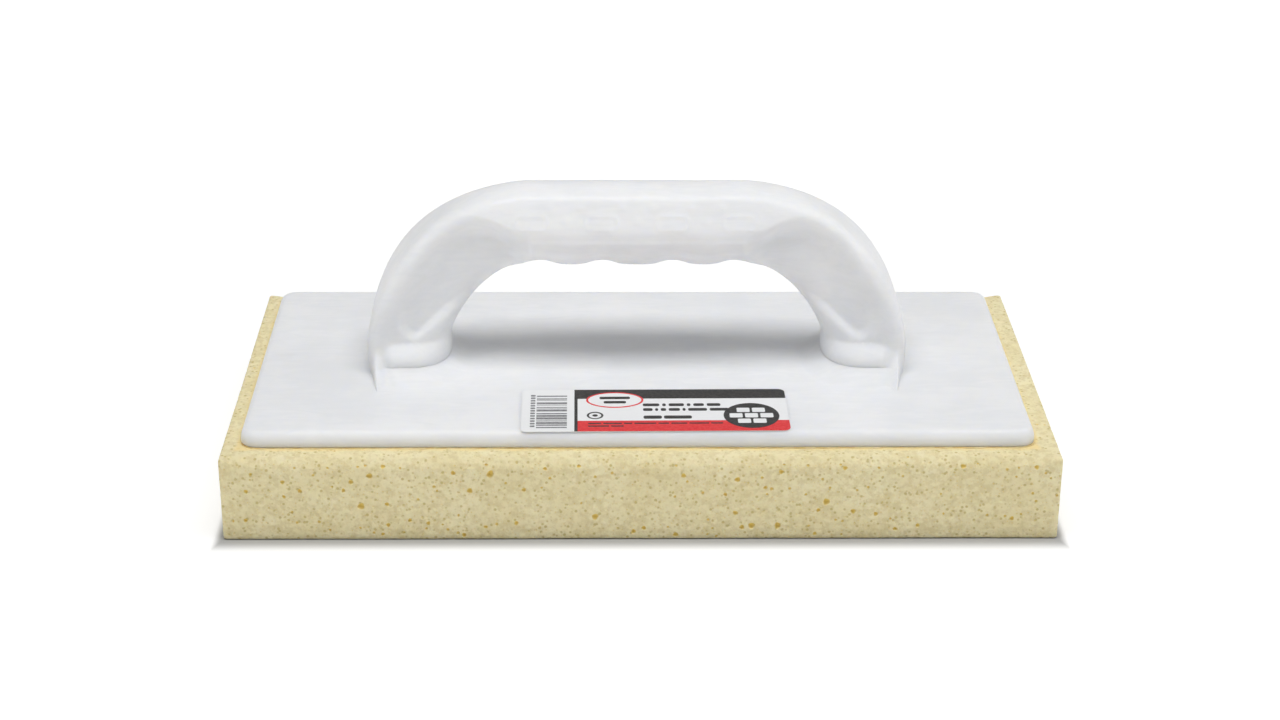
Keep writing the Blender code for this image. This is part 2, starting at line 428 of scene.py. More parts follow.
def make_ink(name, thin, full):
    """Printing ink: colour between thin and full, with the slight mottle of a printed solid."""
    made, tree, shader, place = new_material(name)
    set_inputs(shader, Specular_IOR_Level=0.45)
    mottle = noise_value(tree, place, 900.0, 4.0, 0.65)
    body = mix_colour(tree, remap(tree, mottle, 0.3, 0.7), thin, full)
    tree.links.new(body, shader.inputs["Base Color"])
    tree.links.new(remap(tree, mottle, 0.3, 0.7, 0.34, 0.44), shader.inputs["Roughness"])
    return made


# ---------------------------------------------------------------- the moulded body


def handle_sections():
    """Half of the handle as arrays, from the grip's middle to inside the plate.

    Each row is a section: its outer and inner point (X and Z), how far the bend has turned,
    and how far the mound has spread.
    """
    rows = []
    for step in range(GRIP_STATIONS):
        x = GRIP_HALF_LENGTH * step / GRIP_STATIONS
        rows.append((x, HANDLE_HEIGHT, x, HANDLE_HEIGHT - GRIP_DEPTH + finger_relief(x), 0.0, 0.0))
    for step in range(BEND_STATIONS):
        turn = step / (BEND_STATIONS - 1)
        along = abs(math.sin(math.radians(90) * turn))
        up = abs(math.cos(math.radians(90) * turn))
        outer_x = blend(GRIP_HALF_LENGTH, OUTER_HALF_SPAN, along ** (2 / OUTER_BEND_POWER))
        outer_z = blend(OUTER_BEND_FOOT, HANDLE_HEIGHT, up ** (2 / OUTER_BEND_POWER))
        inner_x = blend(GRIP_HALF_LENGTH, INNER_HALF_SPAN, along ** (2 / INNER_BEND_POWER))
        inner_z = blend(INNER_BEND_FOOT, HANDLE_HEIGHT - GRIP_DEPTH, up ** (2 / INNER_BEND_POWER))
        fade = 1 - smooth_step(GRIP_HALF_LENGTH + 2 * MM, GRIP_HALF_LENGTH + 12 * MM, inner_x)
        swell = TOE_SWELL_INSIDE * toe_swell(inner_z)
        rows.append((outer_x, outer_z, inner_x - swell, inner_z + fade * finger_relief(inner_x), turn, 0.0))
    crease = PLATE_TOP + MOUND_HEIGHT
    for step in range(1, FOOT_STATIONS + 1):
        share = step / FOOT_STATIONS
        outer_z = blend(OUTER_BEND_FOOT, crease, share)
        inner_z = blend(INNER_BEND_FOOT, crease, share)
        inner_x = INNER_HALF_SPAN - TOE_SWELL_INSIDE + 0.5 * TOE_TUCK * share
        rows.append((OUTER_HALF_SPAN, outer_z, inner_x, inner_z, 1.0, 0.0))
    for step in range(MOUND_STATIONS + 1):
        spread = step / MOUND_STATIONS
        z = PLATE_TOP + MOUND_HEIGHT * (1 - spread) ** MOUND_POWER
        outer_x = OUTER_HALF_SPAN + MOUND_REACH_OUTSIDE * spread
        start_x = INNER_HALF_SPAN - TOE_SWELL_INSIDE + TOE_TUCK
        inner_x = blend(start_x, INNER_HALF_SPAN - MOUND_REACH, spread)
        rows.append((outer_x, z, inner_x, z, 1.0, max(spread, 0.01)))
    last = rows[-1]
    rows.append((last[0], PLATE_TOP - ROOT_DEPTH, last[2], PLATE_TOP - ROOT_DEPTH, 1.0, 1.0))
    rows = np.array(rows)
    below = np.clip((OUTER_TUCK_TOP - rows[:, 1]) / (OUTER_TUCK_TOP - PLATE_TOP), 0.0, 1.0)
    rows[:, 0] -= OUTER_TUCK * below ** OUTER_TUCK_POWER
    return rows


def toe_swell(height):
    """How far the toe has swollen out, from 0 at its top to 1 where it is widest."""
    share = np.clip((TOE_TOP - height) / (TOE_TOP - TOE_WIDEST), 0.0, 1.0)
    return np.sin(math.radians(90) * share) ** TOE_POWER


def finger_relief(x):
    """How far the grip's underside is raised at x: rounded grooves between flat ridges."""
    raised = 0.0
    for groove in FINGER_GROOVES:
        away = abs(abs(x) - groove) / FINGER_HALF_WIDTH
        raised += math.exp(-(away ** FINGER_SQUARENESS))
    return FINGER_DEPTH * raised - FINGER_RIDGE


def section_profile(across, sideways, turn):
    """The section's width as a share of its half width: sloping upper faces on the grip, boxy legs."""
    slope = 1.0 - SHOULDER_SLOPE * (across - SHOULDER_ACROSS)
    width = np.abs(sideways)
    share = np.clip(0.5 + 0.5 * (slope - width) / SHOULDER_SOFTNESS, 0.0, 1.0)
    lower = blend(slope, width, share) - SHOULDER_SOFTNESS * share * (1.0 - share)
    facet = (1.0 - smooth_step(0.10, 0.45, turn)) * smooth_step(-0.5, -0.1, across)
    boxy = (1.0 - np.abs(across) ** LEG_SECTION_POWER) ** (1 / LEG_SECTION_POWER)
    boxiness = smooth_step(0.10, 0.60, turn) * smooth_step(-0.2, 0.2, across)
    return np.sign(sideways) * blend(blend(width, lower, facet), np.maximum(boxy, width), boxiness)


def ridge_across(turn):
    """Where the ridge between the hollow and the rim runs: a ledge on the grip, high up in the bend."""
    risen = blend(0.15, 0.92, smooth_step(0.05, 0.33, turn))
    return risen - 0.18 * smooth_step(0.38, 0.62, turn)


def hollow_shape(across, ridge, turn):
    """Depth of the hollow from 0 to 1: it falls in from the ridge and eases at the inner outline."""
    share = (ridge - across) / (ridge + 1.15)
    steep = np.maximum(smooth_step(-0.12, 0.42, share) - 0.13, 0.0) / 0.87 * (share > 0)
    soft = smooth_step(-0.02, 0.58, share)
    eased = 1.0 - 0.10 * smooth_step(0.50, 1.15, share)
    return blend(steep, soft, smooth_step(0.34, 0.62, turn)) * eased


def half_width(across, height, turn, spread):
    """Half the handle's width at a share of its depth: -1 on the inner outline, 1 on the outer one."""
    ridge = ridge_across(turn)
    leg = blend(GRIP_HALF_WIDTH, LEG_HALF_WIDTH, smooth_step(0.0, 0.5, turn))
    rise = HOLLOW_END_RISE * (1.0 - bump(HOLLOW_END_ACROSS, 0.45, across))
    hollow_fade = smooth_step(HOLLOW_END_FOOT + rise, HOLLOW_END_TOP + 2.4 * rise, height)
    depth = HOLLOW_DEPTH * blend(1.0, HOLLOW_FOOT_SHARE, smooth_step(0.28, 1.0, turn))
    hollow = depth * smooth_step(0.0, 0.20, turn) * hollow_fade * hollow_shape(across, ridge, turn)
    on_toe = 1.0 - smooth_step(0.36, 0.80, across)
    toe = TOE_SWELL * toe_swell(height) * on_toe
    tuck = TOE_TUCK * smooth_step(TOE_WIDEST, PLATE_TOP + MOUND_HEIGHT, height) ** 2 * on_toe
    nick = NICK_DEPTH * bump(NICK_HEIGHT, 0.5 * MM, height) * bump(HOLLOW_END_ACROSS, 0.4, across)
    rim = (RIM_HALF_WIDTH - LEG_HALF_WIDTH) * smooth_step(0.30, 0.75, turn)
    rim = rim * smooth_step(ridge - 0.45, ridge + 0.08, across)
    near_plate = np.clip(1.0 - (height - PLATE_TOP) / FIN_HEIGHT, 0.0, 1.0) ** 2.2
    fin = (FIN_HALF_WIDTH - RIM_HALF_WIDTH) * near_plate
    outward_side = bump(FIN_ACROSS, 0.12, across)
    inward_side = np.exp((across - FIN_ACROSS) / 0.30)
    fin = fin * np.where(across > FIN_ACROSS, outward_side, inward_side)
    mound = MOUND_REACH * spread * (1.0 - smooth_step(0.3, 0.9, across))
    return leg - hollow - nick + np.hypot(mound + toe - tuck, rim + fin)


def rounded_box_distance(x, z, half_size, corner):
    """Distance outside a rounded rectangle's outline, negative inside."""
    past_x = np.abs(x) - (half_size[0] - corner)
    past_z = np.abs(z) - (half_size[1] - corner)
    outside = np.hypot(np.maximum(past_x, 0), np.maximum(past_z, 0))
    return outside + np.minimum(np.maximum(past_x, past_z), 0) - corner


def grip_relief(x, z):
    """How far the grip's front and back stand out: four outlines, small studs and a fine ledge."""
    relief = np.zeros_like(x)
    for centre in PANEL_CENTRES:
        edge = np.abs(rounded_box_distance(x - centre, z - PANEL_HEIGHT, PANEL_HALF_SIZE, PANEL_CORNER))
        relief += PANEL_RISE * (1.0 - smooth_step(0.2 * MM, 0.85 * MM, edge))
    for gap in STUD_GAPS:
        for offset_x, offset_z in STUD_OFFSETS:
            away_x = (x - gap - offset_x) / STUD_SPREAD[0]
            away_z = (z - PANEL_HEIGHT - offset_z) / STUD_SPREAD[1]
            relief += STUD_RISE * np.exp(-(away_x ** 2 + away_z ** 2))
    ledge = smooth_step(LEDGE_HEIGHT + 0.4 * MM, LEDGE_HEIGHT - 0.4 * MM, z)
    ledge = ledge * smooth_step(*LEDGE_FADE_BELOW, z)
    return relief + LEDGE_DEPTH * ledge * (1.0 - smooth_step(*LEDGE_FADE_ALONG, np.abs(x)))


def handle_points():
    """Rings of points round the whole handle, as an array: section, point of its ring, axis."""
    half = handle_sections()
    left = half[::-1].copy()
    left[:, 0] *= -1
    left[:, 2] *= -1
    rows = np.vstack((left, half[1:]))
    angle = math.tau * np.arange(RING_POINTS) / RING_POINTS
    across = signed_power(np.cos(angle), 2 / SECTION_POWER)[None, :]
    sideways = signed_power(np.sin(angle), 2 / SECTION_POWER)[None, :]
    outer_x, outer_z, inner_x, inner_z, turn, spread = (rows[:, k, None] for k in range(6))
    x = blend(inner_x, outer_x, (across + 1) / 2)
    z = blend(inner_z, outer_z, (across + 1) / 2)
    y = section_profile(across, sideways, turn) * half_width(across, z, turn, spread)
    on_grip = (1.0 - smooth_step(0.30, 0.50, turn)) * smooth_step(0.3, 0.8, np.abs(sideways))
    y = y + np.sign(y) * grip_relief(x, z) * on_grip
    return np.stack((x, y, z), axis=2)


def plate_lines(half):
    """Grid lines across the plate: even in its middle, and close together over its rounded edge."""
    core = half - PLATE_CORNER
    count = round(2 * core / PLATE_GRID)
    lines = [blend(-core, core, k / count) for k in range(count + 1)]
    flat = [core + (PLATE_CORNER - PLATE_TOP_ROUND) * share for share in (0.33, 0.66, 1.0)]
    start = half - PLATE_TOP_ROUND
    curved = [start + PLATE_TOP_ROUND * math.sin(math.radians(angle)) for angle in (18, 36, 54, 72, 90)]
    edge = flat + curved
    return np.array([-place for place in reversed(edge)] + lines + edge)


def plate_relief(x, y):
    """Height of the plate's top over its flat: sink rings, a parting ridge and a slight unevenness."""
    around = np.hypot(np.abs(x) - SINK_PLACE[0], y - SINK_PLACE[1])
    outboard = smooth_step(SINK_PLACE[0] - 6 * MM, SINK_PLACE[0] + 6 * MM, np.abs(x))
    rings = -SINK_DEPTH * bump(SINK_RADIUS, 1.1 * MM, around) * outboard
    ridge_span = smooth_step(-0.1318, -0.1300, x) * (1.0 - smooth_step(-0.118, -0.112, x))
    ridge = PARTING_RISE * bump(PARTING_Y, 0.45 * MM, y) * ridge_span
    broad = np.sin(x / 0.031 + 1.3) * np.sin(y / 0.019 + 0.4)
    slanted = 0.6 * np.sin(x / 0.0135 + y / 0.016)
    return rings + ridge + SWELL_RISE * (broad + slanted)


def make_plate(finish):
    """The backing plate: a fine grid over its top, rounded over the edge, and a flat underside."""
    half_x, half_y = PLATE_LENGTH / 2, PLATE_WIDTH / 2
    lines_x = plate_lines(half_x)
    lines_y = plate_lines(half_y)
    ridge_lines = np.array([-0.5, 0.0, 0.3, 0.6, 1.1]) * MM
    lines_y = lines_y[np.abs(lines_y - PARTING_Y) > 1.2 * MM]
    lines_y = np.sort(np.concatenate((lines_y, ridge_lines)))
    grid_x, grid_y = np.meshgrid(lines_x, lines_y, indexing="ij")
    past_x = np.maximum(np.abs(grid_x) - (half_x - PLATE_CORNER), 0)
    past_y = np.maximum(np.abs(grid_y) - (half_y - PLATE_CORNER), 0)
    reach = np.maximum(past_x, past_y)
    pull = np.where(reach > 0, reach / np.maximum(np.hypot(past_x, past_y), 1e-9), 1.0)
    x = np.sign(grid_x) * (np.abs(grid_x) - past_x + past_x * pull)
    y = np.sign(grid_y) * (np.abs(grid_y) - past_y + past_y * pull)
    over = np.clip((reach - (PLATE_CORNER - PLATE_TOP_ROUND)) / PLATE_TOP_ROUND, 0.0, 1.0)
    fall = PLATE_SIDE_FALL * (1.0 - np.sqrt(1.0 - over ** 2))
    z = PLATE_TOP - fall + plate_relief(x, y) * (1.0 - over)
    points = list(zip(x.ravel(), y.ravel(), z.ravel()))
    columns, rows = len(lines_x), len(lines_y)
    faces = []
    for i in range(columns - 1):
        for j in range(rows - 1):
            corner = i * rows + j
            faces.append((corner, corner + rows, corner + rows + 1, corner + 1))
    border = [i * rows for i in range(columns)]
    border += [(columns - 1) * rows + j for j in range(1, rows)]
    border += [i * rows + rows - 1 for i in range(columns - 2, -1, -1)]
    border += [j for j in range(rows - 2, 0, -1)]
    above = border
    for share in (0.0, 0.35, 0.7, 1.0):
        inset = PLATE_SOLE_ROUND * (1.0 - math.sqrt(1.0 - share ** 2))
        height = PLATE_SOLE + PLATE_SOLE_ROUND * (1.0 - share)
        below = list(range(len(points), len(points) + len(border)))
        for index in border:
            px, py = points[index][0], points[index][1]
            points.append((px * (1 - inset / half_x), py * (1 - inset / half_y), height))
        for k in range(len(border)):
            after = (k + 1) % len(border)
            faces.append((above[k], above[after], below[after], below[k]))
        above = below
    faces.append(tuple(above))
    return new_object("moulded_body", points, faces, finish, 32)


def make_moulded_body(finish):
    """The plate and the handle, joined as one moulding."""
    body = make_plate(finish)
    rings = handle_points()
    count, size = rings.shape[:2]
    handle = new_object("handle_shape", rings.reshape(-1, 3), ring_faces(count, size), finish, 32)
    union = body.modifiers.new("handle", "BOOLEAN")
    union.operation = "UNION"
    union.solver = "EXACT"
    union.object = handle
    bpy.context.view_layer.update()
    joined = bpy.data.meshes.new_from_object(body.evaluated_get(bpy.context.evaluated_depsgraph_get()))
    body.modifiers.clear()
    body.data = joined
    bpy.data.objects.remove(handle)
    joined.transform(Matrix.Translation((BODY_SHIFT, 0, 0)))
    joined.shade_smooth()
    joined.set_sharp_from_angle(angle=math.radians(32))
    return body


# ---------------------------------------------------------------- the sponge

# The block's faces: the 3-D directions of their own two axes, and which way they face
PAD_FACES = {
    "front": ((1, 0, 0), (0, 0, 1), (0, -1, 0)),
    "back": ((-1, 0, 0), (0, 0, 1), (0, 1, 0)),
    "right": ((0, 1, 0), (0, 0, 1), (1, 0, 0)),
    "left": ((0, -1, 0), (0, 0, 1), (-1, 0, 0)),
    "top": ((1, 0, 0), (0, 1, 0), (0, 0, 1)),
    "sole": ((1, 0, 0), (0, -1, 0), (0, 0, -1)),
}

# Pores of a face: (number, smallest radius, largest radius) in millimetres, largest first
PAD_PORES = {
    "front": ((12, 1.00, 1.65), (110, 0.55, 0.95), (1500, 0.24, 0.48)),
    "back": ((12, 1.00, 1.65), (90, 0.55, 0.95), (800, 0.24, 0.48)),
    "right": ((6, 0.90, 1.50), (45, 0.55, 0.90), (400, 0.24, 0.46)),
    "left": ((6, 0.90, 1.50), (45, 0.55, 0.90), (400, 0.24, 0.46)),
    "top": ((3, 0.60, 0.90), (24, 0.40, 0.60), (160, 0.22, 0.36)),
    "sole": ((90, 0.80, 1.40), (330, 0.45, 0.80), (1000, 0.26, 0.45)),
}


def pad_lines(half):
    """Places of the grid lines along one axis of the block, close together at its edges."""
    inner = half - EDGE_ROWS[-1]
    count = max(2, round(2 * inner / PAD_GRID))
    middle = [blend(-inner, inner, k / count) for k in range(1, count)]
    edge = [half - row for row in EDGE_ROWS]
    return [-place for place in edge] + middle + list(reversed(edge))


def scatter_pores(half_u, half_v, kinds, draw, on_rim):
    """Pores as (u, v, radius, stretch, turn), with none touching another or an edge."""
    pores = []
    cells = {}
    for number, smallest, largest in kinds:
        placed = 0
        for _ in range(number * 30):
            if placed == number:
                break
            radius = blend(smallest, largest, draw.random() ** 1.6) * MM
            u = draw.uniform(-half_u, half_u)
            v = draw.uniform(-half_v, half_v)
            room = radius * 1.25 + 0.35 * MM
            if abs(u) > half_u - room or abs(v) > half_v - room:
                continue
            if on_rim and abs(u) < PLATE_LENGTH / 2 + radius and abs(v) < PLATE_WIDTH / 2 + radius:
                continue
            if radius > 0.8 * MM and draw.random() > 0.35 + abs(v) / half_v:
                continue
            column, row = math.floor(u / PORE_CELL), math.floor(v / PORE_CELL)
            blocks = [(column + i, row + j) for i in (-1, 0, 1) for j in (-1, 0, 1)]
            near = [other for block in blocks for other in cells.get(block, ())]
            if any(math.hypot(u - p[0], v - p[1]) < 1.22 * (radius + p[2]) + 0.12 * MM for p in near):
                continue
            pore = (u, v, radius, draw.uniform(0.78, 1.0), draw.uniform(0, math.pi))
            pores.append(pore)
            cells.setdefault((column, row), []).append(pore)
            placed += 1
    return pores


def pore_points(pore, draw):
    """The points of one pore as (u, v, sink, shade): rings down its wall and its lowest point."""
    u, v, radius, stretch, turn = pore
    if radius > 0.75 * MM:
        corners, levels = 14, ((1.0, 0.0, 0.0), (0.82, 0.26, 0.65), (0.5, 0.62, 0.95))
    elif radius > 0.5 * MM:
        corners, levels = 10, ((1.0, 0.0, 0.0), (0.66, 0.45, 0.7))
    else:
        corners, levels = 7, ((1.0, 0.0, 0.0),)
    sink_of_middle, shade_of_middle = (0.75, 1.0) if len(levels) > 1 else (0.65, 0.6)
    points = [(u, v, radius * sink_of_middle, shade_of_middle)]
    phase = draw.uniform(0, math.tau)
    for share, sink, shade in levels:
        for k in range(corners):
            angle = math.tau * k / corners
            wobble = 1 + 0.09 * math.sin(3 * angle + phase) + 0.05 * math.sin(5 * angle + 2 * phase)
            along = radius * share * wobble * math.cos(angle)
            aside = radius * share * wobble * math.sin(angle) * stretch
            pu = u + along * math.cos(turn) - aside * math.sin(turn)
            pv = v + along * math.sin(turn) + aside * math.cos(turn)
            points.append((pu, pv, radius * sink, shade))
    return points


def face_points(name, draw):
    """The points of one face of the block as (u, v, sink, shade)."""
    u_axis, v_axis, _ = PAD_FACES[name]
    half_u = sum(abs(a) * h for a, h in zip(u_axis, PAD_HALF))
    half_v = sum(abs(a) * h for a, h in zip(v_axis, PAD_HALF))
    pores = scatter_pores(half_u, half_v, PAD_PORES[name], draw, name == "top")
    spots = np.array([(p[0], p[1], p[2]) for p in pores])
    points = []
    for u in pad_lines(half_u):
        for v in pad_lines(half_v):
            from_edge = min(half_u - abs(u), half_v - abs(v))
            if from_edge > EDGE_ROWS[-1] + 0.1 * MM:
                u_moved = u + draw.uniform(-0.8, 0.8) * MM
                v_moved = v + draw.uniform(-0.8, 0.8) * MM
            else:
                u_moved, v_moved = u, v
            away = np.hypot(spots[:, 0] - u_moved, spots[:, 1] - v_moved)
            if from_edge < 1e-6 or (away > spots[:, 2] * 1.2 + 0.15 * MM).all():
                points.append((u_moved, v_moved, 0.0, 0.0))
    for pore in pores:
        points.extend(pore_points(pore, draw))
    return np.array(points)


def pad_surface(flat, sink):
    """Points of the sharp-edged block, moved onto the rounded block and then in by sink."""
    half = np.array(PAD_HALF)
    share = (flat[:, 2:3] + half[2]) / (2 * half[2])
    to_end = smooth_step(half[0] - 10 * MM, half[0] - 1 * MM, np.abs(flat[:, 0:1]))
    radius = blend(PAD_SOLE_ROUND, blend(PAD_TOP_ROUND, PAD_END_ROUND, to_end), share ** 1.5)
    core = np.clip(flat, -(half - radius), half - radius)
    outward = flat - core
    outward /= np.linalg.norm(outward, axis=1, keepdims=True)
    waves = []
    for point in flat:
        broad = noise.noise(Vector(point) * 28)
        fine = noise.noise(Vector(point) * 240 + Vector((7, 3, 1)))
        waves.append(0.10 * (1 + broad) + 0.06 * (1 + fine))
    depth = sink[:, None] + np.array(waves)[:, None] * MM
    return core + outward * (radius - depth) + np.array(PAD_CENTRE)


def make_sponge(finish):
    """The sponge: a block with soft edges, whose open pores are real hollows."""
    draw = random.Random(376)
    places, faces, shades = [], [], []
    for name, (u_axis, v_axis, facing) in PAD_FACES.items():
        points = face_points(name, draw)
        _, _, triangles, origins, *_ = delaunay_2d_cdt(
            [Vector((u / MM, v / MM)) for u, v in points[:, :2]], [], [], 0, 1e-7
        )
        points = points[[origin[0] for origin in origins]]
        offset = np.array(facing) * np.array(PAD_HALF)
        flat = points[:, :1] * np.array(u_axis) + points[:, 1:2] * np.array(v_axis) + offset
        start = len(places)
        places.extend(pad_surface(flat, points[:, 2]))
        shades.extend(points[:, 3])
        faces.extend(tuple(start + corner for corner in triangle) for triangle in triangles)
    sponge = new_object("sponge", places, faces, finish, 60)
    attribute = sponge.data.attributes.new("pore_painted_shade", "FLOAT", "POINT")
    attribute.data.foreach_set("value", np.array(shades, np.float32))
    bm = bmesh.new()
    bm.from_mesh(sponge.data)
    bmesh.ops.remove_doubles(bm, verts=[v for v in bm.verts if v.is_boundary], dist=0.002 * MM)
    bmesh.ops.recalc_face_normals(bm, faces=bm.faces)
    bm.to_mesh(sponge.data)
    bm.free()
    sponge.data.shade_smooth()
    sponge.data.set_sharp_from_angle(angle=math.radians(38))
    return sponge


# ---------------------------------------------------------------- the glue


def plate_outline(offset_of, count=720):
    """Points round the plate's foot, each moved out by offset_of(share of the way round)."""
    core_x = PLATE_LENGTH / 2 - PLATE_CORNER
    core_y = PLATE_WIDTH / 2 - PLATE_CORNER
    quarter = PLATE_CORNER * math.pi / 2
    runs = [(2 * core_y, 0), (quarter, 1), (2 * core_x, 0), (quarter, 1)] * 2
    total = sum(length for length, _ in runs)
    centres = ((core_x, core_y), (-core_x, core_y), (-core_x, -core_y), (core_x, -core_y))
    points = []
    for k in range(count):
        left = total * k / count
        for run, (length, curved) in enumerate(runs):
            if left <= length:
                break
            left -= length
        side = run // 2
        out = offset_of(k / count)
        if curved:
            angle = math.radians(90) * side + left / PLATE_CORNER
            radius = PLATE_CORNER + out
            centre = centres[side]
            points.append((centre[0] + radius * math.cos(angle), centre[1] + radius * math.sin(angle)))
        else:
            angle = math.radians(90) * side
            start = centres[side - 1]
            forward = (-math.sin(angle), math.cos(angle))
            reach = PLATE_CORNER + out
            x = start[0] + forward[0] * left + reach * math.cos(angle)
            y = start[1] + forward[1] * left + reach * math.sin(angle)
            points.append((x, y))
    return points


def make_glue(finish):
    """The adhesive: a film under the plate with an uneven bead squeezed out round its edge, and drips."""
    draw = random.Random(29)
    phases = [draw.uniform(0, math.tau) for _ in GLUE_WAVES]

    def bead(share):
        wave = sum(math.sin(math.tau * n * share + phase) for n, phase in zip(GLUE_WAVES, phases))
        return (0.10 + 0.07 * wave) * MM

    points = []
    for out, rise in GLUE_LEVELS:
        ring = plate_outline(lambda share: max(bead(share), -0.12 * MM) + out * MM)
        points.extend((x + BODY_SHIFT, y, PAD_TOP - 0.12 * MM + rise * MM) for x, y in ring)
    count = len(points) // len(GLUE_LEVELS)
    faces = ring_faces(len(GLUE_LEVELS), count)
    for _ in range(GLUE_DRIPS):
        place = draw.random()
        out = draw.uniform(0.2, 1.9) ** 1.3 * MM
        x, y = plate_outline(lambda share: out, 360)[int(place * 360)]
        x += BODY_SHIFT
        radius = draw.uniform(0.2, 0.5) * MM
        start = len(points)
        for share, rise in ((1.0, -0.20), (0.92, 0.02), (0.6, 0.10), (0.2, 0.14)):
            for k in range(10):
                angle = math.tau * k / 10
                wobble = 1 + 0.2 * math.sin(2 * angle + place * 9)
                px = x + radius * share * wobble * math.cos(angle)
                py = y + radius * share * wobble * math.sin(angle)
                points.append((px, py, PAD_TOP - 0.22 * MM + rise * MM))
        faces.extend(tuple(start + corner for corner in face) for face in ring_faces(4, 10))
    return new_object("adhesive_bead", points, faces, finish, 50)


# ---------------------------------------------------------------- the sticker


def rounded_shape(centre, size, corners, steps=6):
    """A rectangle's outline; corners are the radii at right top, left top, left bottom, right bottom."""
    points = []
    for quarter, (side_x, side_y) in enumerate(((1, 1), (-1, 1), (-1, -1), (1, -1))):
        radius = max(corners[quarter], 0.02)
        for step in range(steps + 1):
            angle = math.radians(90) * (quarter + step / steps)
            x = centre[0] + side_x * (size[0] / 2 - radius) + radius * math.cos(angle)
            y = centre[1] + side_y * (size[1] / 2 - radius) + radius * math.sin(angle)
            points.append((x, y))
    return points


def round_shape(centre, radii, steps=40):
    """An ellipse's outline."""
    angles = [math.tau * k / steps for k in range(steps)]
    return [(centre[0] + radii[0] * math.cos(a), centre[1] + radii[1] * math.sin(a)) for a in angles]


class Print:
    """Flat closed shapes in millimetres from the sticker's centre, gathered into one piece."""

    def __init__(self, low, high):
        self.low, self.high = low, high
        self.points, self.faces = [], []

    def solid(self, outline):
        """A flat plate with that outline."""
        start = len(self.points)
        for height in (self.low, self.high):
            self.points.extend((x, y, height) for x, y in outline)
        self.faces.extend(tuple(start + k for k in face) for face in ring_faces(2, len(outline)))

    def frame_of(self, outer, inner):
        """A closed band between two outlines with the same number of points."""
        start, size = len(self.points), len(outer)
        corners = ((outer, self.low), (outer, self.high), (inner, self.high), (inner, self.low))
        for outline, height in corners:
            self.points.extend((x, y, height) for x, y in outline)
        for ring in range(4):
            low, high = start + ring * size, start + (ring + 1) % 4 * size
            for k in range(size):
                after = (k + 1) % size
                self.faces.append((low + k, low + after, high + after, high + k))

    def bar(self, left, right, bottom, top, corner=0.0):
        """An upright rectangle, with rounded corners where corner is more than 0."""
        centre = ((left + right) / 2, (bottom + top) / 2)
        self.solid(rounded_shape(centre, (right - left, top - bottom), (corner,) * 4, 3 if corner else 1))

    def words(self, left, centre_y, lengths, height, gap):
        """A row of plain bars that stands for a line of small print."""
        for length in lengths:
            self.bar(left, left + length, centre_y - height / 2, centre_y + height / 2, height * 0.3)
            left += length + gap

    def finish(self, name, material, place):
        """The piece, moved onto the plate."""
        points = [place @ Vector((x * MM, y * MM, z * MM)) for x, y, z in self.points]
        return new_object(name, points, self.faces, material, 30)


